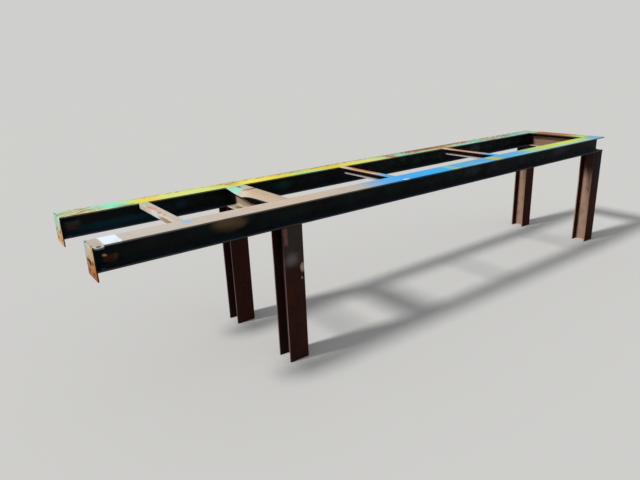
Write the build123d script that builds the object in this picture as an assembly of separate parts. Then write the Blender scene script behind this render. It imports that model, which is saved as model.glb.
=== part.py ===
from build123d import *
import os

os.makedirs("parts", exist_ok=True)

# Overall sizes in millimetres
FRAME_LENGTH = 4060
GIRDER_SPACING = 606
LEG_LENGTH = 770
LEG_INSET = 905

# Wide-flange section of girders, legs and deep cross beams
SECTION_DEPTH = 114
FLANGE_WIDTH = 120
FLANGE_THICKNESS = 8
WEB_THICKNESS = 5
ROOT_RADIUS = 12

# How much further than the girders' roots the corners of a deep cross beam's web are rounded
COPE_RELIEF = 1

# Hollow cross bar near the plated ends
BAR_WIDTH = 50
BAR_DEPTH = 30
BAR_WALL = 3
BAR_OUTER_RADIUS = 4
BAR_INSET = 397

# Rolled equal angle of the two light cross bars
ANGLE_LEG = 50
ANGLE_THICKNESS = 5
ANGLE_ROOT_RADIUS = 7
ANGLE_TOE_RADIUS = 3.5
ANGLE_INSETS = (1750, 2768)

# Bolting plates on the left ends of the girders
PLATE_WIDTH = 140
PLATE_THICKNESS = 6
PLATE_DROP = 150
HOLE_DIAMETER = 18
HOLE_GAUGE = 76
HOLE_FIRST_ROW = 78
HOLE_PITCH = 47

# Small eye lug on the front girder's upper flange edge
LUG_WIDTH = 42
LUG_REACH = 33
LUG_HOLE_DIAMETER = 22

# Sizes that follow from the ones above
TOP = LEG_LENGTH + SECTION_DEPTH
GIRDER_LENGTH = FRAME_LENGTH - PLATE_THICKNESS
CLEAR_SPAN = GIRDER_SPACING - FLANGE_WIDTH
PLATE_OVERHANG = (PLATE_WIDTH - FLANGE_WIDTH) / 2
FRONT_Y = (LUG_REACH - PLATE_OVERHANG - GIRDER_SPACING) / 2
BACK_Y = FRONT_Y + GIRDER_SPACING
LEFT_X = -FRAME_LENGTH / 2
RIGHT_X = FRAME_LENGTH / 2


def wide_flange_face():
    """Outline of the rolled section: width along X, depth along Y, centred."""
    half_width = FLANGE_WIDTH / 2
    half_depth = SECTION_DEPTH / 2
    inner = half_depth - FLANGE_THICKNESS
    half_web = WEB_THICKNESS / 2
    with BuildSketch() as sketch:
        with BuildLine():
            Polyline(
                (-half_width, -half_depth), (half_width, -half_depth), (half_width, -inner),
                (half_web, -inner), (half_web, inner), (half_width, inner),
                (half_width, half_depth), (-half_width, half_depth), (-half_width, inner),
                (-half_web, inner), (-half_web, -inner), (-half_width, -inner),
                close=True,
            )
        make_face()
        roots = [v for v in sketch.vertices() if abs(abs(v.X) - half_web) < 0.01]
        fillet(roots, ROOT_RADIUS)
    return sketch.sketch


def angle_face():
    """Outline of the angle: upper leg to the left, hanging leg on the right, corner at the origin."""
    with BuildSketch() as sketch:
        with BuildLine():
            Polyline(
                (0, 0), (-ANGLE_LEG, 0), (-ANGLE_LEG, -ANGLE_THICKNESS),
                (-ANGLE_THICKNESS, -ANGLE_THICKNESS), (-ANGLE_THICKNESS, -ANGLE_LEG),
                (0, -ANGLE_LEG), close=True,
            )
        make_face()
        corners = sketch.vertices()
        root = [v for v in corners if abs(v.X + ANGLE_THICKNESS) < 0.01 and abs(v.Y + ANGLE_THICKNESS) < 0.01]
        fillet(root, ANGLE_ROOT_RADIUS)
        toes = [
            v for v in sketch.vertices()
            if (abs(v.X + ANGLE_LEG) < 0.01 and v.Y < -1) or (abs(v.Y + ANGLE_LEG) < 0.01 and v.X < -1)
        ]
        fillet(toes, ANGLE_TOE_RADIUS)
    return sketch.sketch


def bar_face():
    """Outline of the hollow bar: rounded outside and inside, centred."""
    outer = RectangleRounded(BAR_WIDTH, BAR_DEPTH, BAR_OUTER_RADIUS)
    inner = RectangleRounded(
        BAR_WIDTH - 2 * BAR_WALL, BAR_DEPTH - 2 * BAR_WALL, BAR_OUTER_RADIUS - BAR_WALL
    )
    return outer - inner


def girder(y):
    """One main girder, web upright, running from the plate to the right end."""
    start = Plane(
        origin=(LEFT_X + PLATE_THICKNESS, y, TOP - SECTION_DEPTH / 2), x_dir=(0, 1, 0), z_dir=(1, 0, 0)
    )
    return extrude(start * wide_flange_face(), GIRDER_LENGTH)


def deep_cross_beam(x):
    """A cross beam of the girders' section: flanges between the flange edges, web fitted into both recesses."""
    middle_z = TOP - SECTION_DEPTH / 2
    start = Plane(origin=(x, FRONT_Y + FLANGE_WIDTH / 2, middle_z), x_dir=(-1, 0, 0), z_dir=(0, 1, 0))
    beam = extrude(start * wide_flange_face(), CLEAR_SPAN)
    web = RectangleRounded(
        GIRDER_SPACING - WEB_THICKNESS, SECTION_DEPTH - 2 * FLANGE_THICKNESS, ROOT_RADIUS + COPE_RELIEF
    )
    side = Plane(
        origin=(x - WEB_THICKNESS / 2, (FRONT_Y + BACK_Y) / 2, middle_z), x_dir=(0, 1, 0), z_dir=(1, 0, 0)
    )
    return beam + extrude(side * web, WEB_THICKNESS)


def light_cross_bar(x):
    """An angle between the girders, its left tip at the given place and its upper leg flush."""
    start = Plane(
        origin=(x + ANGLE_LEG, FRONT_Y + FLANGE_WIDTH / 2, TOP), x_dir=(1, 0, 0), z_dir=(0, -1, 0)
    )
    return extrude(start * angle_face(), -CLEAR_SPAN)


def hollow_cross_bar(x):
    """The hollow bar between the girders, flush on top, its left side at the given place."""
    start = Plane(
        origin=(x + BAR_WIDTH / 2, FRONT_Y + FLANGE_WIDTH / 2, TOP - BAR_DEPTH / 2),
        x_dir=(1, 0, 0), z_dir=(0, -1, 0),
    )
    return extrude(start * bar_face(), -CLEAR_SPAN)


def leg(x, y):
    """One leg under a girder, its flanges facing front and back."""
    start = Plane(origin=(x, y, 0), x_dir=(1, 0, 0), z_dir=(0, 0, 1))
    return extrude(start * wide_flange_face(), LEG_LENGTH)


def end_plate(y):
    """A bolting plate across a girder's left end, a little wider, flush on top and hanging below it."""
    plate = Pos(LEFT_X + PLATE_THICKNESS / 2, y, TOP - PLATE_DROP / 2) * Box(
        PLATE_THICKNESS, PLATE_WIDTH, PLATE_DROP
    )
    hole = Rotation(0, 90, 0) * Cylinder(HOLE_DIAMETER / 2, 3 * PLATE_THICKNESS)
    for side in (-1, 1):
        for row in range(2):
            z = TOP - HOLE_FIRST_ROW - row * HOLE_PITCH
            plate -= Pos(LEFT_X + PLATE_THICKNESS / 2, y + side * HOLE_GAUGE / 2, z) * hole
    return plate


def eye_lug(x):
    """A round-nosed lug with a hole, flush on top, on the front girder's flange edge beside the plate."""
    nose = LUG_WIDTH / 2
    edge_y = FRONT_Y - FLANGE_WIDTH / 2
    centre_y = edge_y - LUG_REACH + nose
    middle_z = TOP - FLANGE_THICKNESS / 2
    lug = Pos(x, centre_y, middle_z) * Cylinder(nose, FLANGE_THICKNESS)
    lug += Pos(x, (edge_y + centre_y) / 2, middle_z) * Box(LUG_WIDTH, edge_y - centre_y, FLANGE_THICKNESS)
    lug -= Pos(x, edge_y, middle_z) * Box(
        3 * LUG_WIDTH, 2 * LUG_WIDTH, 2 * FLANGE_THICKNESS, align=(Align.CENTER, Align.MIN, Align.CENTER)
    )
    return lug - Pos(x, centre_y, middle_z) * Cylinder(LUG_HOLE_DIAMETER / 2, 3 * FLANGE_THICKNESS)


near_legs_x = LEFT_X + LEG_INSET + FLANGE_WIDTH / 2
far_legs_x = RIGHT_X - FLANGE_WIDTH / 2

parts = {
    "front_girder": girder(FRONT_Y),
    "back_girder": girder(BACK_Y),
    "front_end_plate": end_plate(FRONT_Y),
    "back_end_plate": end_plate(BACK_Y),
    "hollow_cross_bar": hollow_cross_bar(LEFT_X + BAR_INSET),
    "near_cross_beam": deep_cross_beam(near_legs_x),
    "far_cross_beam": deep_cross_beam(far_legs_x),
    "front_left_leg": leg(near_legs_x, FRONT_Y),
    "back_left_leg": leg(near_legs_x, BACK_Y),
    "front_right_leg": leg(far_legs_x, FRONT_Y),
    "back_right_leg": leg(far_legs_x, BACK_Y),
    "eye_lug": eye_lug(LEFT_X + PLATE_THICKNESS + LUG_WIDTH / 2),
}
for number, inset in enumerate(ANGLE_INSETS, 1):
    parts[f"angle_cross_bar_{number}"] = light_cross_bar(LEFT_X + inset)

for name, shape in parts.items():
    export_step(shape, f"parts/{name}.step")
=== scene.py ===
import math

import bpy
from mathutils import Matrix, Vector


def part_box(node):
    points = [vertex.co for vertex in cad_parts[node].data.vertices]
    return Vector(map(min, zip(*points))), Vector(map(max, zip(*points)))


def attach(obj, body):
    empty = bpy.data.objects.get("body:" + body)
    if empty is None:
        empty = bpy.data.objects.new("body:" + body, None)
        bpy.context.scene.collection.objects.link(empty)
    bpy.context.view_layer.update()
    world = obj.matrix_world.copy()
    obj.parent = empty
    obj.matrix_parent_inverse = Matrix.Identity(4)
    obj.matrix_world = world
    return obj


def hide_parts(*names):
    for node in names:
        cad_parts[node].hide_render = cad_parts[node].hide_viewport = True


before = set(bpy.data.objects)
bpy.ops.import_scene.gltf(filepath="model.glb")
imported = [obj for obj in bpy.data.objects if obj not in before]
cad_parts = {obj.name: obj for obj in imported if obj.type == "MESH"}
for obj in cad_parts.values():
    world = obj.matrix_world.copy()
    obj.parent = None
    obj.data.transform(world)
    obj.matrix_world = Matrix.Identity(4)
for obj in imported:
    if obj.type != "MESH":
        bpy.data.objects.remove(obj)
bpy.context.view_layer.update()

MM = 0.001

# The axes, as places in a vector and as directions
X, Y, Z = 0, 1, 2
ALONG, ACROSS, UPRIGHT = (1, 0, 0), (0, 1, 0), (0, 0, 1)

# Places that the frame gives
front_low, front_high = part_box("front_girder")
plate_low, plate_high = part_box("front_end_plate")
LEFT_END = plate_low.x
RIGHT_END = front_high.x
TOP = front_high.z
GIRDER_UNDERSIDE = front_low.z
FRONT_EDGE = front_low.y
GAP_FRONT = front_high.y
GAP_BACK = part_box("back_girder")[0].y
LEG_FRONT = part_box("front_left_leg")[0].y
FRAME_RUN = RIGHT_END - LEFT_END
GAP_RUN = GAP_BACK - GAP_FRONT
PLATE_DROP = plate_high.z - plate_low.z

# The section that girders, legs and deep cross beams share
FLANGE_EDGE = 8 * MM
WEB_HALF = 2.5 * MM
LOW_FLANGE_TOP = GIRDER_UNDERSIDE + FLANGE_EDGE

# Where its web shows a face, in millimetres from the flange edge and as a share of the width
WEB_FACE = 57
WEB_SHARE = 0.48

# How far below the top the spray drift still settles on what looks up
DRIFT_FULL = 32 * MM
DRIFT_ENDS = 36 * MM

# Towards the far end, between these metres from the left end, mill scale turns mottled and the painted
# sunlight on the legs turns pale
MOTTLE_STARTS, MOTTLE_FULL = 1.0, 3.0
PALER_LIGHT_STARTS, PALER_LIGHT_FULL = 1.5, 3.5

# How far below the girders the painted shadow of the girders on the legs is full, and where it ends
GIRDER_SHADOW_FULL = 140 * MM
GIRDER_SHADOW_ENDS = 240 * MM

# Rust in the coat breaks through in streaks that run aslant
STREAK_SLANT = math.radians(-28)


# Small helpers for materials

# Where a Mix node for colours has its sockets
MIX_SHARE, MIX_BELOW, MIX_ABOVE, MIX_RESULT = 0, 6, 7, 2


def tint(code):
    """An sRGB hex colour as linear red, green, blue and alpha."""
    channels = [int(code[i:i + 2], 16) / 255 for i in (1, 3, 5)]
    return [c / 12.92 if c <= 0.04045 else ((c + 0.055) / 1.055) ** 2.4 for c in channels] + [1.0]


def add(tree, kind, inputs=None, **settings):
    """Adds one node with its settings, and links or sets its inputs."""
    made = tree.nodes.new(kind)
    for name, value in settings.items():
        setattr(made, name, value)
    for name, value in (inputs or {}).items():
        if isinstance(value, bpy.types.NodeSocket):
            tree.links.new(value, made.inputs[name])
        else:
            made.inputs[name].default_value = value
    return made


def start_finish(name):
    """An empty material with its tree and the place on the object in metres."""
    finish = bpy.data.materials.new(name)
    finish.use_nodes = True
    tree = finish.node_tree
    tree.nodes.clear()
    place = add(tree, "ShaderNodeTexCoord").outputs["Object"]
    return finish, tree, place


def blotches(tree, place, size, low, high, stretch=(1, 1, 1), offset=0.0, turn=0.0):
    """A 0 to 1 mask of irregular blotches of about the given size in metres, stretched and turned about Z.
    Low and high are the noise levels where they start and are full; each offset gives other blotches."""
    turned = add(tree, "ShaderNodeMapping", {"Vector": place, "Rotation": (0, 0, turn)})
    moved = add(tree, "ShaderNodeMapping", {"Vector": turned.outputs[0], "Scale": stretch,
                                           "Location": (offset, offset * 0.7, offset * 0.3)})
    noise = add(tree, "ShaderNodeTexNoise", {"Vector": moved.outputs[0], "Scale": 1 / size, "Detail": 4.0,
                                             "Roughness": 0.6})
    return add(tree, "ShaderNodeMapRange", {"Value": noise.outputs["Fac"], "From Min": low, "From Max": high},
               interpolation_type="SMOOTHSTEP").outputs[0]


def drifted(tree, place, size, amount):
    """The place pushed about by noise, so that edges painted on it turn ragged."""
    noise = add(tree, "ShaderNodeTexNoise", {"Vector": place, "Scale": 1 / size, "Detail": 5.0,
                                             "Roughness": 0.65})
    centred = add(tree, "ShaderNodeVectorMath", {0: noise.outputs["Color"], 1: (0.5, 0.5, 0.5)},
                  operation="SUBTRACT")
    push = add(tree, "ShaderNodeVectorMath", {0: centred.outputs[0], "Scale": amount}, operation="SCALE")
    return add(tree, "ShaderNodeVectorMath", {0: place, 1: push.outputs[0]}, operation="ADD").outputs[0]


def between(tree, vector, axis, low, high):
    """A mask that goes smoothly from 0 to 1 as one part of a vector goes from low to high; low may be the
    larger."""
    parts = add(tree, "ShaderNodeSeparateXYZ", {0: vector})
    return add(tree, "ShaderNodeMapRange", {"Value": parts.outputs[axis], "From Min": low, "From Max": high},
               interpolation_type="SMOOTHSTEP").outputs[0]


def patch(tree, place, centre, half, soft, square=False):
    """A mask for one sprayed patch round a centre: its half sizes in metres and the softness of its edge."""
    off = add(tree, "ShaderNodeVectorMath", {0: place, 1: centre}, operation="SUBTRACT")
    share = add(tree, "ShaderNodeVectorMath", {0: off.outputs[0], 1: half}, operation="DIVIDE")
    if square:
        size = add(tree, "ShaderNodeVectorMath", {0: share.outputs[0]}, operation="ABSOLUTE")
        parts = add(tree, "ShaderNodeSeparateXYZ", {0: size.outputs[0]})
        pair = add(tree, "ShaderNodeMath", {0: parts.outputs[X], 1: parts.outputs[Y]}, operation="MAXIMUM")
        most = add(tree, "ShaderNodeMath", {0: pair.outputs[0], 1: parts.outputs[Z]}, operation="MAXIMUM")
        reach = most.outputs[0]
    else:
        reach = add(tree, "ShaderNodeVectorMath", {0: share.outputs[0]}, operation="LENGTH").outputs["Value"]
    return add(tree, "ShaderNodeMapRange", {"Value": reach, "From Min": 1 + soft, "From Max": 1 - soft},
               interpolation_type="SMOOTHSTEP").outputs[0]


def over(tree, below, colour, *masks):
    """A colour laid over another as far as all the masks allow; a mask may also be a plain strength."""
    share = masks[0]
    for mask in masks[1:]:
        share = add(tree, "ShaderNodeMath", {0: share, 1: mask}, operation="MULTIPLY").outputs[0]
    above = tint(colour) if isinstance(colour, str) else colour
    return add(tree, "ShaderNodeMix", {MIX_SHARE: share, MIX_BELOW: below, MIX_ABOVE: above},
               data_type="RGBA").outputs[MIX_RESULT]


def lay_clouds(tree, place, colour, clouds):
    """Lays irregular clouds: each has its colour, size in millimetres, the two noise levels where it starts
    and is full, its own offset in the noise and its strength."""
    for code, size, low, high, offset, strength in clouds:
        cloud = blotches(tree, place, size * MM, low, high, offset=offset)
        colour = over(tree, colour, code, cloud, strength)
    return colour


def lay_patches(tree, ragged, colour, patches):
    """Lays patches of colour: each has its centre, half sizes, colour, softness, squareness and strength."""
    for centre, half, code, soft, square, strength in patches:
        colour = over(tree, colour, code, patch(tree, ragged, centre, half, soft, square), strength)
    return colour


def colour_run(tree, place, axis, start, length, stops):
    """Colours that fade into each other along an axis, each with its distance from the start in millimetres.
    A negative length runs the other way."""
    gone = add(tree, "ShaderNodeSeparateXYZ", {0: place}).outputs[axis]
    share = add(tree, "ShaderNodeMapRange", {"Value": gone, "From Min": start, "From Max": start + length})
    made = add(tree, "ShaderNodeValToRGB", {"Fac": share.outputs[0]})
    band = made.color_ramp
    while len(band.elements) < len(stops):
        band.elements.new(1.0)
    for element, (distance, code) in zip(band.elements, stops):
        element.position = distance * MM / abs(length)
        element.color = tint(code)
    return made.outputs[0]


def close_finish(tree, colour, roughness, height, depth=0.4 * MM, metallic=0.0):
    """Ends a material: one shader with its colour, roughness and bump. Dust and pits hide most of the
    sheen."""
    bump = add(tree, "ShaderNodeBump", {"Height": height, "Distance": depth, "Strength": 0.8})
    shader = add(tree, "ShaderNodeBsdfPrincipled", {"Base Color": colour, "Roughness": roughness,
                                                    "Metallic": metallic, "Specular IOR Level": 0.12,
                                                    "Normal": bump.outputs[0]})
    add(tree, "ShaderNodeOutputMaterial", {"Surface": shader.outputs[0]})


# Finishes

def bare_steel(tree, place, look):
    """Hot-rolled steel left outdoors: blue-black mill scale with clouds and rust freckles, a blue-grey
    dusting with painted sky light on what looks up, a paler mottle towards the far end and scuffed lower
    flange edges."""
    colour = over(tree, tint("#0b0e10"), "#12181c", blotches(tree, place, 210 * MM, 0.35, 0.65))
    colour = lay_clouds(tree, place, colour, [
        ("#10201c", 120, 0.52, 0.7, 13, 0.8),
        ("#222228", 70, 0.56, 0.74, 27, 0.7),
        ("#241813", 95, 0.56, 0.72, 3, 0.9),
        ("#060809", 130, 0.5, 0.66, 51, 0.7),
        ("#47291c", 16, 0.66, 0.75, 7, 0.8),
    ])
    # Painted sky light mixed with a dusting: blue-grey on the faces that look up, in blotches
    dust_and_sky_light = blotches(tree, place, 120 * MM, 0.2, 0.6, offset=5)
    colour = over(tree, colour, "#1d2c38", between(tree, look, Z, 0.5, 0.9), dust_and_sky_light, 0.85)
    far = between(tree, place, X, LEFT_END + MOTTLE_STARTS, LEFT_END + MOTTLE_FULL)
    colour = over(tree, colour, "#2a3033", blotches(tree, place, 36 * MM, 0.48, 0.68, offset=33), far, 0.6)
    colour = over(tree, colour, "#343029", blotches(tree, place, 22 * MM, 0.58, 0.7, offset=37), far, 0.5)
    low = between(tree, place, Z, LOW_FLANGE_TOP + 1 * MM, LOW_FLANGE_TOP - 1 * MM)
    across = add(tree, "ShaderNodeSeparateXYZ", {0: look}).outputs[Y]
    sideways = add(tree, "ShaderNodeMath", {0: across}, operation="ABSOLUTE").outputs[0]
    scuffs = blotches(tree, place, 150 * MM, 0.25, 0.6, offset=17)
    return over(tree, colour, "#4a4446", low, sideways, scuffs, 0.8)


def sprayed_steel(name, axis, run_from, run_length, stops, patches=(), rusty=(), side_patches=(),
                  side_light_and_drift=None):
    """Rolled steel whose top caught the drift of many spray jobs: a thin matt coat, dull, feathered and worn
    through to rust in specks; the sides keep their blue-black mill scale. The side colour is painted sunlight
    with drift on the faces towards the plated end, which face the key light: its colour, how many millimetres
    below the top it starts, under a painted shadow of the upper flange, and how strong it is."""
    finish, tree, place = start_finish(name)
    look = add(tree, "ShaderNodeNewGeometry").outputs["True Normal"]
    ragged = drifted(tree, drifted(tree, place, 45 * MM, 24 * MM), 6 * MM, 5 * MM)
    # Neighbouring colours mingle in clouds a hand wide and in droplets, drawn at 5 mm so that they show
    mingled = drifted(tree, drifted(tree, place, 80 * MM, 80 * MM), 5 * MM, 40 * MM)
    coat = colour_run(tree, mingled, axis, run_from, run_length, stops)
    coat = lay_patches(tree, ragged, coat, patches)
    # Rust breaks through in slanting streaks about 15 mm wide
    streaks = blotches(tree, place, 34 * MM, 0.47, 0.6, stretch=(0.42, 1.5, 1), offset=11, turn=STREAK_SLANT)
    fine_streaks = blotches(tree, place, 12 * MM, 0.5, 0.62, stretch=(0.3, 1.4, 1), offset=19,
                            turn=STREAK_SLANT)
    for centre, half, strength in rusty:
        area = patch(tree, ragged, centre, half, 0.5)
        coat = over(tree, coat, "#a4683f", area, streaks, strength)
        coat = over(tree, coat, "#7d4a30", area, fine_streaks, strength)
    # Grime in the coat, in clouds about a hand wide, and worn freckles of rust
    coat = lay_clouds(tree, place, coat, [
        ("#8f8069", 90, 0.5, 0.8, 21, 0.22),
        ("#8a5a38", 7, 0.67, 0.73, 31, 0.6),
    ])
    steel = bare_steel(tree, place, look)
    # Painted sunlight with drift: a paler colour on the faces towards the key light below a set depth; above
    # it the dark steel stands for the upper flange's shadow
    if side_light_and_drift:
        code, starts, strength = side_light_and_drift
        facing_key_light = between(tree, look, X, -0.5, -0.8)
        below_shadow_line = between(tree, place, Z, TOP - (starts - 4) * MM, TOP - (starts + 4) * MM)
        steel = over(tree, steel, code, facing_key_light, below_shadow_line, strength)
    steel = lay_patches(tree, ragged, steel, side_patches)
    upward = between(tree, look, Z, 0.45, 0.7)
    settled = between(tree, place, Z, TOP - DRIFT_ENDS, TOP - DRIFT_FULL)
    coated = add(tree, "ShaderNodeMath", {0: upward, 1: settled}, operation="MULTIPLY")
    # A little of the coat lies on the upright edges of the upper flange
    edge = between(tree, place, Z, TOP - FLANGE_EDGE - 1 * MM, TOP - FLANGE_EDGE + 3 * MM)
    thin = add(tree, "ShaderNodeMath", {0: edge, 1: 0.22}, operation="MULTIPLY")
    reach = add(tree, "ShaderNodeMath", {0: coated.outputs[0], 1: thin.outputs[0]}, operation="MAXIMUM")
    colour = over(tree, steel, coat, reach.outputs[0])
    close_finish(tree, colour, 0.78, blotches(tree, place, 9 * MM, 0.3, 0.7, offset=41))
    return finish


def on_front(distance, across, drop=0.0):
    """A point on the front girder, in millimetres from the left end, the front edge and the top."""
    return (LEFT_END + distance * MM, FRONT_EDGE + across * MM, TOP - drop * MM)


def on_back(distance, across, drop=0.0):
    """A point on the back girder, in millimetres from the left end, its front edge and the top."""
    return (LEFT_END + distance * MM, GAP_BACK + across * MM, TOP - drop * MM)


def half_mm(x, y, z=60):
    """Half sizes given in millimetres, as metres."""
    return (x * MM, y * MM, z * MM)


# Beige near the plates, sky blue in the middle, lime green and pale blue at the far end
front_coat = sprayed_steel(
    "sprayed_mill_scale_front", X, LEFT_END, FRAME_RUN,
    [
        (0, "#bcbbaa"), (140, "#c9bfb2"), (700, "#cdbdae"), (1050, "#d1bba6"), (1430, "#c8bbaa"),
        (1530, "#aab6bf"), (1620, "#6cb4ee"), (1830, "#4cb1f7"), (2100, "#43b7f6"), (2560, "#5cb6ec"),
        (2980, "#68bfe9"), (3080, "#a0d6b4"), (3230, "#cae370"), (3500, "#ddf070"), (3720, "#dcee76"),
        (3880, "#c0e284"), (3960, "#9fd0b4"), (4040, "#86bde2"),
    ],
    patches=[
        (on_front(88, 62), half_mm(38, 66), "#e9f1fa", 0.05, True, 1.0),
        (on_front(26, 56), half_mm(26, 66), "#bdb1a2", 0.2, True, 0.85),
        (on_front(28, -16), half_mm(28, 19), "#c4cacd", 0.15, True, 0.9),
        (on_front(444, 82), half_mm(22, 27), "#9dc0d6", 0.3, True, 0.95),
        (on_front(1780, 8), half_mm(22, 10), "#eef4fa", 0.3, False, 0.9),
        (on_front(2230, 50), half_mm(36, 64), "#9bcba4", 0.4, True, 0.85),
        (on_front(2240, 6), half_mm(30, 11), "#cfcf60", 0.4, False, 0.85),
        (on_front(2430, 8), half_mm(150, 14), "#a3c8da", 0.5, False, 0.7),
        (on_front(2380, 50), half_mm(110, 56), "#8dc0b2", 0.6, False, 0.3),
        (on_front(2670, 40), half_mm(44, 60), "#c3c85a", 0.25, True, 0.9),
        (on_front(3480, 10), half_mm(580, 30), "#b0dbe2", 0.4, False, 0.8),
        (on_front(3360, 96), half_mm(160, 26), "#e0dc50", 0.5, False, 0.6),
        (on_front(3700, 94), half_mm(110, 26), "#f0dc4c", 0.5, False, 0.6),
        (on_front(3990, 40), half_mm(110, 60), "#8cc2e0", 0.4, False, 0.7),
    ],
    side_patches=[
        (on_front(650, WEB_FACE, 44), half_mm(86, 30, 38), "#4e402c", 0.4, False, 0.9),
        (on_front(632, WEB_FACE, 36), half_mm(58, 30, 20), "#705c40", 0.8, False, 0.85),
        (on_front(700, WEB_FACE, 56), half_mm(30, 30, 16), "#66553c", 0.8, False, 0.7),
        (on_front(74, WEB_FACE, 80), half_mm(25, 20, 16), "#52261a", 0.2, True, 0.9),
        (on_front(58, WEB_FACE, 63), half_mm(9, 20, 6), "#dca48c", 0.4, False, 0.9),
        (on_front(102, WEB_FACE, 76), half_mm(11, 20, 16), "#4f3f2e", 0.4, False, 0.8),
        (on_front(1080, WEB_FACE, 60), half_mm(60, 20, 22), "#1b2c28", 0.5, False, 0.35),
        (on_front(2450, WEB_FACE, 60), half_mm(70, 20, 30), "#33333a", 0.5, False, 0.6),
        (on_front(3500, WEB_FACE, 50), half_mm(90, 20, 30), "#3a3742", 0.5, False, 0.6),
    ],
)

# Mint and yellow by turns, rusty beyond the middle, pale mint at the far end
back_coat = sprayed_steel(
    "sprayed_mill_scale_back", X, LEFT_END, FRAME_RUN,
    [
        (0, "#b0d8ac"), (95, "#d4d8a2"), (180, "#b0deb6"), (265, "#8aecc2"), (325, "#a2e4b6"),
        (375, "#cde684"), (415, "#f0d758"), (480, "#eed25a"), (560, "#dee57a"), (760, "#dee780"),
        (900, "#d8e072"), (960, "#dac868"), (1030, "#eee46a"), (1116, "#f6ea68"), (1330, "#e9d658"),
        (1474, "#bfe086"), (1540, "#ecdc58"), (1736, "#e4d04c"), (1880, "#e8e06c"), (2090, "#e0e48c"),
        (2230, "#b9dea4"), (2390, "#a4d8b6"), (2600, "#b2c8a4"), (2720, "#c8c09a"), (2900, "#cdba90"),
        (3010, "#aee2c6"), (3180, "#bcead4"), (3560, "#c9e2cf"), (3720, "#ace4ca"), (4050, "#b4d4bd"),
    ],
    patches=[
        (on_back(40, 100), half_mm(60, 22), "#a2e0bc", 0.4, False, 0.8),
        (on_back(120, 24), half_mm(110, 18), "#f0d294", 0.5, False, 0.8),
        (on_back(160, 3), half_mm(170, 6), "#e6f0d0", 0.5, False, 0.8),
        (on_back(700, 5), half_mm(240, 10), "#e8e8bc", 0.6, False, 0.6),
        (on_back(1560, 14), half_mm(120, 24), "#a2e4b8", 0.4, False, 0.8),
        (on_back(2270, 46), half_mm(44, 60), "#b9714c", 0.4, False, 0.85),
        (on_back(2370, 60), half_mm(60, 50), "#93dcc0", 0.5, False, 0.8),
        (on_back(2520, 80), half_mm(70, 36), "#c08a66", 0.5, False, 0.8),
        (on_back(2700, 90), half_mm(160, 36), "#9c4c2c", 0.5, False, 0.9),
        (on_back(2820, 50), half_mm(58, 64), "#d4a070", 0.5, False, 0.85),
        (on_back(3050, 102), half_mm(140, 16), "#8f4a30", 0.5, False, 0.85),
        (on_back(3250, 55), half_mm(74, 44), "#8fe0c6", 0.5, False, 0.9),
        (on_back(3385, 50), half_mm(48, 54), "#c9b08c", 0.5, False, 0.85),
        (on_back(3640, 60), half_mm(64, 44), "#b9a486", 0.5, False, 0.8),
        (on_back(3790, 60), half_mm(84, 50), "#95e2c8", 0.5, False, 0.9),
        (on_back(3980, 40), half_mm(60, 44), "#c9cdb4", 0.5, False, 0.7),
        (on_back(2500, 117), half_mm(1500, 8), "#7c4630", 0.7, False, 0.7),
    ],
    rusty=[
        (on_back(110, 60), half_mm(110, 70), 0.7), (on_back(330, 20), half_mm(60, 24), 0.6),
        (on_back(980, 90), half_mm(60, 40), 0.9), (on_back(2480, 80), half_mm(90, 60), 1.0),
        (on_back(2800, 88), half_mm(150, 52), 0.9), (on_back(3080, 90), half_mm(130, 50), 0.9),
        (on_back(1300, 100), half_mm(500, 24), 0.6), (on_back(3700, 80), half_mm(300, 60), 0.5),
        (on_back(2620, 100), half_mm(420, 36), 1.0), (on_back(1800, 110), half_mm(300, 18), 0.8),
        (on_back(3400, 60), half_mm(260, 60), 0.6), (on_back(560, 110), half_mm(200, 16), 0.5),
    ],
    side_patches=[
        (on_back(66, WEB_FACE, 57), half_mm(36, 20, 13), "#444a4c", 0.4, True, 0.65),
        (on_back(60, WEB_FACE, 78), half_mm(27, 20, 10), "#5c2c1e", 0.4, True, 0.8),
        (on_back(1340, WEB_FACE, 62), half_mm(64, 20, 24), "#124a40", 0.6, False, 0.45),
        (on_back(651, WEB_FACE, 60), half_mm(38, 20, 22), "#143746", 0.5, False, 0.45),
        (on_back(2412, WEB_FACE, 43), half_mm(26, 20, 16), "#164029", 0.5, False, 0.6),
        (on_back(2560, WEB_FACE, 70), half_mm(34, 20, 34), "#17342e", 0.5, False, 0.6),
        # Painted sky light: a blue cast on the lower flange and the web's foot near the left end
        (on_back(300, WEB_FACE, 92), half_mm(240, 60, 20), "#164454", 0.6, False, 0.65),
        (on_back(3250, WEB_FACE, 60), half_mm(60, 20, 30), "#454b4e", 0.5, False, 0.5),
    ],
)


def gap_point(node, share_x, across, drop=0.0):
    """A point on a cross member: its share across its own width and millimetres from the front girder."""
    low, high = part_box(node)
    return (low.x + share_x * (high.x - low.x), GAP_FRONT + across * MM, TOP - drop * MM)


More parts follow.
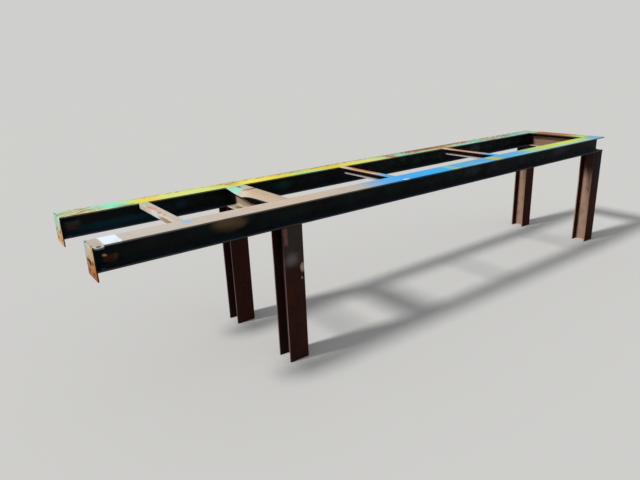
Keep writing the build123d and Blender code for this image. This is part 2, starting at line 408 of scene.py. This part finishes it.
# Pinkish beige that turns pale green at the back
hollow_coat = sprayed_steel(
    "sprayed_hollow_bar", Y, GAP_FRONT, GAP_RUN,
    [(0, "#cfc6ba"), (150, "#d3c9bf"), (250, "#d8cabf"), (360, "#d6bfb4"), (420, "#c2c6aa"),
     (486, "#a6cf9c")],
    patches=[
        (gap_point("hollow_cross_bar", 0.38, 322), half_mm(12, 44), "#dfa392", 0.4, False, 0.9),
        (gap_point("hollow_cross_bar", 0.12, 352), half_mm(9, 34), "#d98a66", 0.4, False, 0.9),
        (gap_point("hollow_cross_bar", 0.75, 230), half_mm(10, 60), "#d4c3a0", 0.4, False, 0.6),
    ],
    rusty=[(gap_point("hollow_cross_bar", 0.2, 210), half_mm(12, 90), 0.5)],
    side_patches=[
        (gap_point("hollow_cross_bar", 0.0, 255, 14), half_mm(12, 46, 20), "#c6cfd6", 0.5, False, 0.9),
        (gap_point("hollow_cross_bar", 0.0, 92, 19), half_mm(12, 96, 18), "#9a7c52", 0.3, False, 0.85),
        (gap_point("hollow_cross_bar", 0.0, 45, 18), half_mm(12, 12, 12), "#6b5438", 0.5, False, 0.6),
        (gap_point("hollow_cross_bar", 0.0, 400, 20), half_mm(12, 40, 9), "#b5a68e", 0.6, False, 0.6),
        (gap_point("hollow_cross_bar", 0.0, 110, 3), half_mm(12, 120, 5), "#d9c69c", 0.4, False, 0.8),
    ],
    # Painted sunlight with drift over the whole face towards the key light
    side_light_and_drift=("#c8c0b4", 0, 0.95),
)

# Beige with mint and brown splashes; painted shadow darkens its web under the upper flange, and its pale
# lower flange is partly painted sunlight
near_beam_coat = sprayed_steel(
    "sprayed_near_beam", Y, GAP_FRONT, GAP_RUN,
    [(0, "#d3bda3"), (200, "#d2bb9f"), (330, "#cebaa1"), (420, "#c6c7ae"), (486, "#b9d9a8")],
    patches=[
        (gap_point("near_cross_beam", 0.85, 420), half_mm(26, 56), "#cdc8c3", 0.5, False, 0.7),
        (gap_point("near_cross_beam", 0.14, 425), half_mm(46, 78), "#a2dfc9", 0.35, False, 0.95),
        (gap_point("near_cross_beam", 0.08, 312), half_mm(26, 52), "#c6c4b8", 0.6, False, 0.75),
        (gap_point("near_cross_beam", 0.3, 322), half_mm(18, 34), "#e0c1a6", 0.5, False, 0.75),
        (gap_point("near_cross_beam", 0.62, 346), half_mm(34, 13), "#9c6238", 0.5, False, 0.95),
        (gap_point("near_cross_beam", 0.9, 346), half_mm(22, 12), "#8f5f40", 0.4, False, 0.95),
        (gap_point("near_cross_beam", 0.56, 442), half_mm(12, 19), "#10160f", 0.25, False, 1.0),
        (gap_point("near_cross_beam", 0.5, 200), half_mm(34, 120), "#ccb193", 0.6, False, 0.4),
    ],
    side_patches=[
        # Pale lower flange, partly overspray and partly painted sunlight, with a brown rust streak
        (gap_point("near_cross_beam", 0.2, 405, 106), half_mm(46, 110, 14), "#bfb29e", 0.2, False, 0.95),
        (gap_point("near_cross_beam", 0.24, 388, 106), half_mm(16, 30, 14), "#8a6444", 0.4, False, 0.85),
        # Painted shadow of the upper flange on the web, and painted shade on the web's back end under the
        # back girder
        (gap_point("near_cross_beam", WEB_SHARE, 225, 56), half_mm(7, 175, 14), "#120b06", 0.12, False, 1.0),
        (gap_point("near_cross_beam", WEB_SHARE, 300, 34), half_mm(7, 210, 24), "#150d07", 0.2, False, 0.8),
        (gap_point("near_cross_beam", WEB_SHARE, 520, 60), half_mm(8, 38, 80), "#15120f", 0.1, True, 0.9),
    ],
    # Painted sunlight with drift on the web below the upper flange's painted shadow
    side_light_and_drift=("#a88f78", 56, 0.95),
)

# Sky blue at the front, then beige with a rusty edge
angle_coat = sprayed_steel(
    "sprayed_angle_bars", Y, GAP_FRONT, GAP_RUN,
    [(0, "#5cb4ee"), (84, "#6fbbe9"), (120, "#b9b9b0"), (170, "#d3b3a0"), (230, "#dcb292"),
     (330, "#d6a683"), (400, "#d9bda0"), (486, "#dccfb6")],
    patches=[(gap_point(node, 0.78, 285), half_mm(13, 135), "#b05c38", 0.5, False, 0.8)
             for node in ("angle_cross_bar_1", "angle_cross_bar_2")],
    # Painted sunlight with drift on the lowest strip of the hanging leg, below the upper leg's painted shadow
    side_light_and_drift=("#cdc0bd", 38, 0.95),
)

# Lime green at the front, then rusty brown
far_beam_coat = sprayed_steel(
    "sprayed_far_beam", Y, GAP_FRONT, GAP_RUN,
    [(0, "#c4e07e"), (60, "#bcd488"), (120, "#bf9e72"), (200, "#b27c55"), (340, "#a96a48"),
     (430, "#a4704f"), (486, "#a9cdae")],
    side_patches=[
        # Pale lower flange, partly overspray and partly painted sunlight
        (gap_point("far_cross_beam", 0.1, 300, 106), half_mm(40, 300, 16), "#a3907c", 0.3, False, 0.9),
        # Painted shade on the web's back end under the back girder
        (gap_point("far_cross_beam", WEB_SHARE, 520, 60), half_mm(8, 38, 80), "#15120f", 0.1, True, 0.9),
    ],
    # Painted sunlight with drift on the web below the upper flange's painted shadow
    side_light_and_drift=("#8c6e5a", 34, 0.95),
)


def on_plate(node, across, drop):
    """A point on a bolting plate's outer face, in millimetres from its front edge and the top."""
    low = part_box(node)[0]
    return (low.x, low.y + across * MM, TOP - drop * MM)


def plate_finish(name, stops, patches):
    """Sheared plate: overspray on its upper half, orange rust that runs brown below, dark freckles of
    scale."""
    finish, tree, place = start_finish(name)
    look = add(tree, "ShaderNodeNewGeometry").outputs["True Normal"]
    ragged = drifted(tree, drifted(tree, place, 40 * MM, 30 * MM), 8 * MM, 8 * MM)
    coat = colour_run(tree, ragged, Z, TOP, -PLATE_DROP, stops)
    coat = lay_patches(tree, ragged, coat, patches)
    coat = lay_clouds(tree, place, coat, [
        ("#7b4a30", 26, 0.52, 0.66, 3, 0.6),
        ("#c9a07a", 20, 0.6, 0.76, 9, 0.45),
        ("#2a1c16", 10, 0.66, 0.73, 14, 0.85),
    ])
    outside = between(tree, look, X, -0.3, -0.6)
    up = between(tree, look, Z, 0.6, 0.85)
    shown = add(tree, "ShaderNodeMath", {0: outside, 1: up}, operation="MAXIMUM").outputs[0]
    colour = over(tree, bare_steel(tree, place, look), coat, shown)
    close_finish(tree, colour, 0.8, blotches(tree, place, 8 * MM, 0.3, 0.7, offset=17), 0.6 * MM)
    return finish


front_plate_coat = plate_finish(
    "rusted_plate_front",
    [(0, "#c4b592"), (34, "#bfa47e"), (60, "#bd9a74"), (76, "#a87f58"), (90, "#a5713f"), (125, "#a4653a"),
     (150, "#8f5028")],
    [
        (on_plate("front_end_plate", 120, 30), half_mm(20, 30, 36), "#9fb3a8", 0.4, True, 0.95),
        (on_plate("front_end_plate", 132, 16), half_mm(20, 10, 20), "#9cc3cb", 0.5, False, 0.9),
        (on_plate("front_end_plate", 76, 83), half_mm(20, 27, 12), "#120503", 0.3, False, 1.0),
    ],
)
back_plate_coat = plate_finish(
    "rusted_plate_back",
    [(0, "#c2ccb0"), (40, "#bac4a6"), (62, "#c0b28e"), (84, "#c2a178"), (122, "#c0946a"), (150, "#cda480")],
    [
        (on_plate("back_end_plate", 104, 34), half_mm(20, 42, 46), "#95c4ab", 0.4, True, 0.95),
        (on_plate("back_end_plate", 132, 8), half_mm(20, 14, 10), "#b6e4cc", 0.4, False, 0.8),
        (on_plate("back_end_plate", 40, 130), half_mm(20, 30, 18), "#c19c7c", 0.5, False, 0.7),
    ],
)


def on_leg(distance, height):
    """A point on a front leg's front face, in millimetres from the left end and the ground."""
    return (LEFT_END + distance * MM, LEG_FRONT, height * MM)


def leg_rust(name):
    """Steel that has stood outdoors for years: even dark red-brown rust, with painted sunlight on the faces
    towards the key light that fades in a painted shadow under the girders, painted shade in the hollows of
    the near legs, and grey drift and drips of paint near one leg's head."""
    finish, tree, place = start_finish(name)
    look = add(tree, "ShaderNodeNewGeometry").outputs["True Normal"]
    ragged = drifted(tree, drifted(tree, place, 40 * MM, 24 * MM), 8 * MM, 6 * MM)
    tall = blotches(tree, place, 160 * MM, 0.35, 0.65, stretch=(1, 1, 0.4))
    colour = lay_clouds(tree, place, over(tree, tint("#280f07"), "#37180c", tall), [
        ("#23140f", 110, 0.5, 0.68, 4, 0.7),
        ("#4c2617", 20, 0.55, 0.72, 8, 0.5),
    ])
    runs = blotches(tree, place, 26 * MM, 0.52, 0.68, stretch=(1.6, 1.6, 0.16), offset=23)
    colour = over(tree, colour, "#22110c", runs, 0.55)
    colour = lay_patches(tree, ragged, colour, [
        (on_leg(965, 660), half_mm(80, 14, 110), "#37302c", 0.25, True, 0.85),
        (on_leg(921, 718), half_mm(12, 12, 46), "#6f4a43", 0.2, True, 0.9),
        (on_leg(950, 592), half_mm(32, 12, 30), "#857c78", 0.9, False, 0.42),
        (on_leg(1016, 532), half_mm(16, 16, 24), "#b0988a", 0.4, False, 0.85),
        (on_leg(1008, 478), half_mm(5, 12, 9), "#a58a80", 0.4, False, 0.7),
        (on_leg(977, 700), half_mm(9, 12, 9), "#2a211f", 0.5, False, 0.9),
        (on_leg(980, 637), half_mm(10, 12, 10), "#2e2321", 0.5, False, 0.9),
        (on_leg(955, 448), half_mm(11, 12, 12), "#2a1512", 0.5, False, 0.9),
        (on_leg(4012, 650), half_mm(60, 14, 150), "#171b20", 0.5, False, 0.85),
    ])
    # Painted sunlight on the faces towards the plated end, which face the key light, paler on the far legs,
    # with darker blotches, fading out in a painted shadow of the girders near the legs' heads
    lit_faces = between(tree, look, X, -0.5, -0.8)
    height = add(tree, "ShaderNodeSeparateXYZ", {0: ragged}).outputs[Z]
    outside_girder_shadow = add(tree, "ShaderNodeMapRange", {
        "Value": height, "From Min": GIRDER_UNDERSIDE - GIRDER_SHADOW_ENDS,
        "From Max": GIRDER_UNDERSIDE - GIRDER_SHADOW_FULL, "To Min": 0.9, "To Max": 0.1}).outputs[0]
    far = between(tree, place, X, LEFT_END + PALER_LIGHT_STARTS, LEFT_END + PALER_LIGHT_FULL)
    lit_rust = over(tree, tint("#84696a"), "#ae8c78", far)
    colour = over(tree, colour, lit_rust, lit_faces, outside_girder_shadow)
    worn = blotches(tree, place, 60 * MM, 0.5, 0.7, offset=15)
    colour = over(tree, colour, "#5f3a2a", lit_faces, outside_girder_shadow, worn, 0.5)
    # Painted shade makes the hollow between the flanges of the near legs nearly black, on the faces that look
    # forward
    front_facing = between(tree, look, Y, -0.5, -0.8)
    for low, high in (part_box("front_left_leg"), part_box("back_left_leg")):
        middle = (low.y + high.y) / 2
        inside = (2 * (high.x - low.x), high.y - middle - FLANGE_EDGE + 1 * MM, TOP)
        hollow_shade = patch(tree, place, (low.x, middle, TOP / 2), inside, 0.01, True)
        colour = over(tree, colour, "#1d0f0b", hollow_shade, front_facing, 0.85)
    close_finish(tree, colour, 0.85, blotches(tree, place, 7 * MM, 0.3, 0.7, offset=12), 0.5 * MM)
    return finish


def weld_scale(name):
    """Stick-welded beads left as they cooled: dark grey oxide with brown rust in the ripples."""
    finish, tree, place = start_finish(name)
    colour = over(tree, tint("#2a2624"), "#54331f", blotches(tree, place, 12 * MM, 0.45, 0.65))
    close_finish(tree, colour, 0.6, blotches(tree, place, 3 * MM, 0.3, 0.7), 0.3 * MM, metallic=0.2)
    return finish


rust_coat = leg_rust("weathered_rust")
weld_coat = weld_scale("rusted_weld")


# Dressed copies of the CAD pieces

# How far the rolled and sheared edges are rounded
EDGE_ROUNDING = 0.8 * MM


def lone(obj):
    """Only this object is selected and active."""
    bpy.ops.object.select_all(action="DESELECT")
    obj.select_set(True)
    bpy.context.view_layer.objects.active = obj


def dress(node, finish):
    """A copy of a CAD node with merged corners, slightly rounded edges and its finish."""
    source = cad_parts[node]
    piece = bpy.data.objects.new(node + "_dressed", source.data.copy())
    bpy.context.scene.collection.objects.link(piece)
    lone(piece)
    bpy.ops.object.mode_set(mode="EDIT")
    bpy.ops.mesh.select_all(action="SELECT")
    bpy.ops.mesh.remove_doubles(threshold=0.01 * MM)
    bpy.ops.mesh.dissolve_limited(angle_limit=math.radians(0.5))
    bpy.ops.object.mode_set(mode="OBJECT")
    rounding = piece.modifiers.new("rounding", "BEVEL")
    rounding.width = EDGE_ROUNDING
    rounding.segments = 2
    rounding.limit_method = "ANGLE"
    rounding.angle_limit = math.radians(40)
    bpy.ops.object.modifier_apply(modifier=rounding.name)
    bpy.ops.object.shade_smooth_by_angle(angle=math.radians(35))
    piece.data.materials.clear()
    piece.data.materials.append(finish)
    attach(piece, "root")
    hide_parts(node)
    return piece


dressed = {
    "front_girder": (front_coat, "front_paint"),
    "eye_lug": (front_coat, "front_paint"),
    "back_girder": (back_coat, "back_paint"),
    "front_end_plate": (front_plate_coat, "plate_paint"),
    "back_end_plate": (back_plate_coat, "plate_paint"),
    "hollow_cross_bar": (hollow_coat, "front_paint"),
    "near_cross_beam": (near_beam_coat, "front_paint"),
    "far_cross_beam": (far_beam_coat, "rust"),
    "angle_cross_bar_1": (angle_coat, "rust"),
    "angle_cross_bar_2": (angle_coat, "rust"),
    "front_left_leg": (rust_coat, "rust"),
    "back_left_leg": (rust_coat, "rust"),
    "front_right_leg": (rust_coat, "rust"),
    "back_right_leg": (rust_coat, "rust"),
}
pieces = {node: dress(node, finish) for node, (finish, slot_name) in dressed.items()}


# Torch nicks in the plates' top edges

# How long a cutter is, half of it to each side of the plate's outer face
CUTTER_DEPTH = 24 * MM


def nick(piece, spot, width, tilt):
    """A torch nick through a plate's top edge: a bite about as wide as given, its bottom round."""
    bpy.ops.object.select_all(action="DESELECT")
    bpy.ops.mesh.primitive_cylinder_add(vertices=14, radius=width / 2, depth=CUTTER_DEPTH, location=spot,
                                        rotation=(0, math.radians(90), 0))
    cutter = bpy.context.active_object
    bpy.ops.object.mode_set(mode="EDIT")
    bpy.ops.mesh.select_all(action="SELECT")
    bpy.ops.transform.resize(value=(1, 0.8, 1.25), center_override=spot)
    bpy.ops.transform.rotate(value=tilt, orient_axis="X", center_override=spot)
    bpy.ops.object.mode_set(mode="OBJECT")
    lone(piece)
    bite = piece.modifiers.new("bite", "BOOLEAN")
    bite.operation = "DIFFERENCE"
    bite.object = cutter
    bpy.ops.object.modifier_apply(modifier=bite.name)
    bpy.data.objects.remove(cutter)


# Each nick's plate, millimetres from the plate's front edge, width in millimetres and tilt in radians
for node, across, width, tilt in (("front_end_plate", 24, 11, 0.3), ("front_end_plate", 112, 13, -0.4),
                                  ("back_end_plate", 58, 11, 0.5), ("back_end_plate", 108, 12, -0.2)):
    nick(pieces[node], on_plate(node, across, 0), width * MM, tilt)


# The knock that bent down the near beam's left lip

# Millimetres from the front girder to its deepest place, and over which it fades to either side
LIP_DEEPEST = 290
LIP_FADES_IN = 90
LIP_FADES_OUT = 200

# How many millimetres from the front girder the weld still held the lip up
LIP_HELD = 30

# How deep the lip sags, and the power of the curve by which it curls down from its crease
LIP_SAG = 24 * MM
LIP_CURL = 1.3

# The crease, the rows and the columns of the net on which it bends, in millimetres
CREASE_INWARD = 48
ROW_STEP = 14
COLUMNS = (10, 20, 30, 40, CREASE_INWARD)


def lip_sag(across):
    """How far the lip was bent down, as a share of its deepest place."""
    if across > LIP_DEEPEST:
        return max(0.0, 1 - ((across - LIP_DEEPEST) / LIP_FADES_OUT) ** 2) ** 1.5
    return min(1.0, across / LIP_HELD) * math.exp((across - LIP_DEEPEST) / LIP_FADES_IN)


def select_faces(piece, chosen):
    """In edit mode, only the faces of which the given test of middle and normal says yes are selected."""
    bpy.ops.mesh.select_mode(type="FACE")
    bpy.ops.mesh.select_all(action="DESELECT")
    bpy.ops.object.mode_set(mode="OBJECT")
    for face in piece.data.polygons:
        face.select = chosen(face.center, face.normal)
    bpy.ops.object.mode_set(mode="EDIT")


def bend_lip(piece, node):
    """Cuts rows and columns across the left half of the upper flange and presses each corner down by its
    share."""
    low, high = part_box(node)
    left_of_web = (low.x + high.x) / 2 - WEB_HALF - 1.5 * MM
    crease = low.x + CREASE_INWARD * MM
    flange_starts = TOP - FLANGE_EDGE - 1 * MM
    gap = GAP_RUN / MM
    lone(piece)
    bpy.ops.object.mode_set(mode="EDIT")
    cuts = [((0, GAP_FRONT + across * MM, 0), ACROSS) for across in range(ROW_STEP, round(gap), ROW_STEP)]
    cuts += [((low.x + inward * MM, 0, 0), ALONG) for inward in COLUMNS]
    for spot, normal in cuts:
        select_faces(piece, lambda centre, way: centre.z > flange_starts
                     and (centre.x < left_of_web or way.z > 0.9))
        bpy.ops.mesh.bisect(plane_co=spot, plane_no=normal)
    bpy.ops.object.mode_set(mode="OBJECT")
    groups = {}
    for corner in piece.data.vertices:
        across = (corner.co.y - GAP_FRONT) / MM
        if corner.co.x < crease - 1 * MM and corner.co.z > flange_starts and 0 < across < gap:
            groups.setdefault((round(corner.co.x / MM, 1), round(across, 1)), []).append(corner.index)
    for (x, across), members in groups.items():
        bpy.ops.object.mode_set(mode="EDIT")
        bpy.ops.mesh.select_mode(type="VERT")
        bpy.ops.mesh.select_all(action="DESELECT")
        bpy.ops.object.mode_set(mode="OBJECT")
        for index in members:
            piece.data.vertices[index].select = True
        bpy.ops.object.mode_set(mode="EDIT")
        share = ((crease - x * MM) / (crease - low.x)) ** LIP_CURL
        bpy.ops.transform.translate(value=(0, 0, -LIP_SAG * share * lip_sag(across)))
    bpy.ops.object.mode_set(mode="OBJECT")
    bpy.ops.object.shade_smooth_by_angle(angle=math.radians(35))


bend_lip(pieces["near_cross_beam"], "near_cross_beam")


# Weld beads

# Radii of the beads on legs, girders and beams, small edges, angle legs and thin sides
LEG_BEAD, GIRDER_BEAD, EDGE_BEAD, ANGLE_BEAD, SIDE_BEAD = 4 * MM, 3.5 * MM, 3 * MM, 2.5 * MM, 2 * MM

# Beads have two rings to each ripple, thick and thin by turns, and small ends, all as shares of the radius
RIPPLE = 3 * MM
RING_THICK, RING_THIN, RING_END = 1.0, 0.84, 0.5

# How much the rings waver in size, as no hand lays two ripples alike, and how far the wave goes on each ring
WAVER = 0.07
WAVER_STEP = 2.3

# Beads stop short of a flange's tips and edges, of the web and of the section's root radius
TIP_CLEAR = 3 * MM
EDGE_CLEAR = 2 * MM
WEB_CLEAR = 6 * MM
ROOT_CLEAR = 13 * MM

# What that leaves inside a flange, between root and tip, and under an angle's upper leg
INNER_RUN = 44 * MM
ANGLE_RUN = 40 * MM
ANGLE_THICKNESS = 5 * MM


def weld_bead(length, radius):
    """A bead along +X from the origin: a small disc drawn out in overlapping, slightly uneven ripples."""
    bpy.ops.object.select_all(action="DESELECT")
    bpy.ops.mesh.primitive_circle_add(vertices=12, radius=RING_END * radius, fill_type="NGON",
                                      rotation=(0, math.radians(90), 0))
    bead = bpy.context.active_object
    bpy.ops.object.transform_apply(location=True, rotation=True, scale=True)
    bpy.ops.object.mode_set(mode="EDIT")
    bpy.ops.mesh.select_all(action="SELECT")
    rings = 2 * max(2, round(length / RIPPLE))
    step = length / rings
    size = RING_END
    for ring in range(1, rings + 1):
        wanted = (RING_THICK if ring % 2 else RING_THIN) + WAVER * math.sin(WAVER_STEP * ring)
        if ring == rings:
            wanted = RING_END
        bpy.ops.mesh.extrude_region_move(TRANSFORM_OT_translate={"value": (step, 0, 0)})
        share = wanted / size
        bpy.ops.transform.resize(value=(1, share, share), center_override=(step * ring, 0, 0))
        size = wanted
    bpy.ops.mesh.select_all(action="SELECT")
    bpy.ops.mesh.normals_make_consistent(inside=False)
    bpy.ops.object.mode_set(mode="OBJECT")
    bpy.ops.object.shade_smooth_by_angle(angle=math.radians(50))
    return bead


bead_patterns = {}


def lay_bead(start, direction, length, radius):
    """A copy of the bead of that length and radius, laid from a start along a direction."""
    key = (round(length / MM), round(radius / MM, 1))
    if key not in bead_patterns:
        bead_patterns[key] = weld_bead(length, radius)
    laid = bpy.data.objects.new("bead", bead_patterns[key].data.copy())
    bpy.context.scene.collection.objects.link(laid)
    turned = Vector(direction).to_track_quat("X", "Z").to_matrix().to_4x4()
    laid.data.transform(Matrix.Translation(start) @ turned)
    return laid


def join_welds(name, beads):
    """One piece of all the beads of a joint."""
    bpy.ops.object.select_all(action="DESELECT")
    for bead in beads:
        bead.select_set(True)
    bpy.context.view_layer.objects.active = beads[0]
    if len(beads) > 1:
        bpy.ops.object.join()
    piece = bpy.context.view_layer.objects.active
    piece.name = name
    piece.data.materials.clear()
    piece.data.materials.append(weld_coat)
    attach(piece, "root")


def weld_leg_head(node):
    """Fillets between a leg's head and the girder over it: outside both flanges and along the web."""
    low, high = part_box(node)
    middle = (low + high) / 2
    run = high.x - low.x - 2 * TIP_CLEAR
    beads = [lay_bead((low.x + TIP_CLEAR, y, high.z), ALONG, run, LEG_BEAD) for y in (low.y, high.y)]
    inside = high.y - low.y - 2 * ROOT_CLEAR
    for side in (-1, 1):
        start = (middle.x + side * WEB_HALF, low.y + ROOT_CLEAR, high.z)
        beads.append(lay_bead(start, ACROSS, inside, GIRDER_BEAD))
    join_welds(node + "_welds", beads)


def weld_deep_beam(node):
    """Fillets at both ends of a deep cross beam: under and over its flanges, and down its web in the girders'
    recesses."""
    low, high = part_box(node)
    middle = (low + high) / 2
    half_run = (high.x - low.x) / 2 - TIP_CLEAR - WEB_CLEAR
    inner_faces = (LOW_FLANGE_TOP, TOP - FLANGE_EDGE)
    web_run = TOP - LOW_FLANGE_TOP - FLANGE_EDGE - 2 * (ROOT_CLEAR + 1 * MM)
    beads = []
    for y in (GAP_FRONT, GAP_BACK):
        for z in inner_faces:
            for start in (low.x + TIP_CLEAR, middle.x + WEB_CLEAR):
                beads.append(lay_bead((start, y, z), ALONG, half_run, GIRDER_BEAD))
        run = high.x - low.x - 2 * TIP_CLEAR
        beads.append(lay_bead((low.x + TIP_CLEAR, y, low.z), ALONG, run, EDGE_BEAD))
    for side in (-1, 1):
        x = middle.x + side * WEB_HALF
        for y, start in ((low.y, low.y + ROOT_CLEAR), (high.y, high.y - ROOT_CLEAR - INNER_RUN)):
            beads.append(lay_bead((x, y, middle.z - web_run / 2), UPRIGHT, web_run, GIRDER_BEAD))
            for z in inner_faces:
                beads.append(lay_bead((x, start, z), ACROSS, INNER_RUN, GIRDER_BEAD))
    join_welds(node + "_welds", beads)


def weld_light_bar(node, under=False):
    """Fillets at both ends of a light bar: up its sides and, on an angle, under its upper leg."""
    low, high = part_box(node)
    beads = []
    for y in (GAP_FRONT, GAP_BACK):
        if under:
            start = (low.x + TIP_CLEAR, y, TOP - ANGLE_THICKNESS)
            beads.append(lay_bead(start, ALONG, ANGLE_RUN, ANGLE_BEAD))
        for x in (low.x, high.x):
            beads.append(lay_bead((x, y, TOP - FLANGE_EDGE), UPRIGHT, FLANGE_EDGE - EDGE_CLEAR, SIDE_BEAD))
    join_welds(node + "_welds", beads)


def weld_plate(node, girder):
    """Fillets all round a girder's end on the inner face of its bolting plate."""
    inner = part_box(node)[1].x
    low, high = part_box(girder)
    middle = (low.y + high.y) / 2
    web_foot = LOW_FLANGE_TOP + ROOT_CLEAR
    web_run = TOP - FLANGE_EDGE - ROOT_CLEAR - web_foot
    start, end = low.y + EDGE_CLEAR, high.y - EDGE_CLEAR
    beads = []
    for side, y, edge in ((-1, start, low.y), (1, end - INNER_RUN, high.y)):
        beads.append(lay_bead((inner, middle + side * WEB_HALF, web_foot), UPRIGHT, web_run, GIRDER_BEAD))
        for z in (LOW_FLANGE_TOP, TOP - FLANGE_EDGE):
            beads.append(lay_bead((inner, y, z), ACROSS, INNER_RUN, GIRDER_BEAD))
        beads.append(lay_bead((inner, edge, GIRDER_UNDERSIDE), UPRIGHT, FLANGE_EDGE - 1 * MM, EDGE_BEAD))
        beads.append(lay_bead((inner, edge, TOP - FLANGE_EDGE), UPRIGHT, FLANGE_EDGE - EDGE_CLEAR, EDGE_BEAD))
    beads.append(lay_bead((inner, start, GIRDER_UNDERSIDE), ACROSS, end - start, GIRDER_BEAD))
    join_welds(node + "_welds", beads)


def weld_lug(node):
    """A fillet under the lug along the flange edge."""
    low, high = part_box(node)
    run = high.x - low.x - 2 * EDGE_CLEAR
    bead = lay_bead((low.x + EDGE_CLEAR, high.y, low.z), ALONG, run, EDGE_BEAD)
    join_welds(node + "_welds", [bead])


for leg_node in ("front_left_leg", "back_left_leg", "front_right_leg", "back_right_leg"):
    weld_leg_head(leg_node)
for beam_node in ("near_cross_beam", "far_cross_beam"):
    weld_deep_beam(beam_node)
weld_light_bar("hollow_cross_bar")
weld_light_bar("angle_cross_bar_1", under=True)
weld_light_bar("angle_cross_bar_2", under=True)
weld_plate("front_end_plate", "front_girder")
weld_plate("back_end_plate", "back_girder")
weld_lug("eye_lug")
for pattern in bead_patterns.values():
    bpy.data.objects.remove(pattern)


# Floor, light and camera

# Which way the key light shines, its strength and its breadth in degrees
KEY_WAY = (1.142, -0.18, -1.0)
KEY_STRENGTH = 2.7
KEY_BREADTH = 9

# Strength of the pale fill from all round
FILL_STRENGTH = 0.40

# The photograph's camera: metres from the left end, the front edge and the ground, angles in radians and its
# lens in millimetres
CAMERA_LEFT, CAMERA_BEFORE, CAMERA_HEIGHT = 0.4411, 2.1855, 1.5482
CAMERA_YAW, CAMERA_PITCH, CAMERA_ROLL = 0.62392, -0.31942, -0.04155
CAMERA_LENS = 29.977


def plain_floor():
    """A wide pale floor, quite without gloss."""
    bpy.ops.object.select_all(action="DESELECT")
    bpy.ops.mesh.primitive_plane_add(size=60, location=(0, 0, 0))
    floor = bpy.context.active_object
    floor.name = "floor"
    finish = start_finish("pale_floor")[0]
    tree = finish.node_tree
    shader = add(tree, "ShaderNodeBsdfPrincipled", {"Base Color": tint("#d8d6d2"), "Roughness": 0.9,
                                                    "Specular IOR Level": 0.0})
    add(tree, "ShaderNodeOutputMaterial", {"Surface": shader.outputs[0]})
    floor.data.materials.append(finish)


def soft_light(name, direction, strength, breadth):
    """One broad, even lamp far off, which shines along a direction."""
    lamp = bpy.data.lights.new(name, "SUN")
    lamp.energy = strength
    lamp.angle = math.radians(breadth)
    holder = bpy.data.objects.new(name, lamp)
    bpy.context.scene.collection.objects.link(holder)
    holder.rotation_euler = Vector(direction).to_track_quat("-Z", "Y").to_euler()


def studio_world():
    """A pale fill from all round; the camera, mirrors and glass see a plain light grey instead."""
    world = bpy.data.worlds.new("studio")
    bpy.context.scene.world = world
    world.use_nodes = True
    tree = world.node_tree
    tree.nodes.clear()
    rays = add(tree, "ShaderNodeLightPath")
    fill = add(tree, "ShaderNodeBackground", {"Color": tint("#f2f6fa"), "Strength": FILL_STRENGTH})
    seen = add(tree, "ShaderNodeBackground", {"Color": tint("#cfcfcd"), "Strength": 1.0})
    mirrored = add(tree, "ShaderNodeMath", {0: rays.outputs["Is Glossy Ray"],
                                            1: rays.outputs["Is Transmission Ray"]}, operation="MAXIMUM")
    shown = add(tree, "ShaderNodeMath", {0: rays.outputs["Is Camera Ray"], 1: mirrored.outputs[0]},
                operation="MAXIMUM")
    mixed = add(tree, "ShaderNodeMixShader", {0: shown.outputs[0], 1: fill.outputs[0], 2: seen.outputs[0]})
    add(tree, "ShaderNodeOutputWorld", {"Surface": mixed.outputs[0]})


def photo_camera():
    """The camera where the photograph was taken, at eye height, a little rolled."""
    level = Vector((math.sin(CAMERA_YAW), math.cos(CAMERA_YAW), 0))
    ahead = level * math.cos(CAMERA_PITCH) + Vector((0, 0, math.sin(CAMERA_PITCH)))
    side = Vector((math.cos(CAMERA_YAW), -math.sin(CAMERA_YAW), 0))
    up = side.cross(ahead)
    right = side * math.cos(CAMERA_ROLL) + up * math.sin(CAMERA_ROLL)
    above = up * math.cos(CAMERA_ROLL) - side * math.sin(CAMERA_ROLL)
    data = bpy.data.cameras.new("camera")
    data.sensor_fit = "HORIZONTAL"
    data.sensor_width = 36
    data.lens = CAMERA_LENS
    data.clip_end = 200
    holder = bpy.data.objects.new("camera", data)
    bpy.context.scene.collection.objects.link(holder)
    turned = Matrix((right, above, -ahead)).transposed().to_4x4()
    turned.translation = (LEFT_END - CAMERA_LEFT, FRONT_EDGE - CAMERA_BEFORE, CAMERA_HEIGHT)
    holder.matrix_world = turned
    bpy.context.scene.camera = holder


plain_floor()
soft_light("key", KEY_WAY, KEY_STRENGTH, KEY_BREADTH)
studio_world()
photo_camera()
bpy.context.scene.view_settings.view_transform = "Standard"
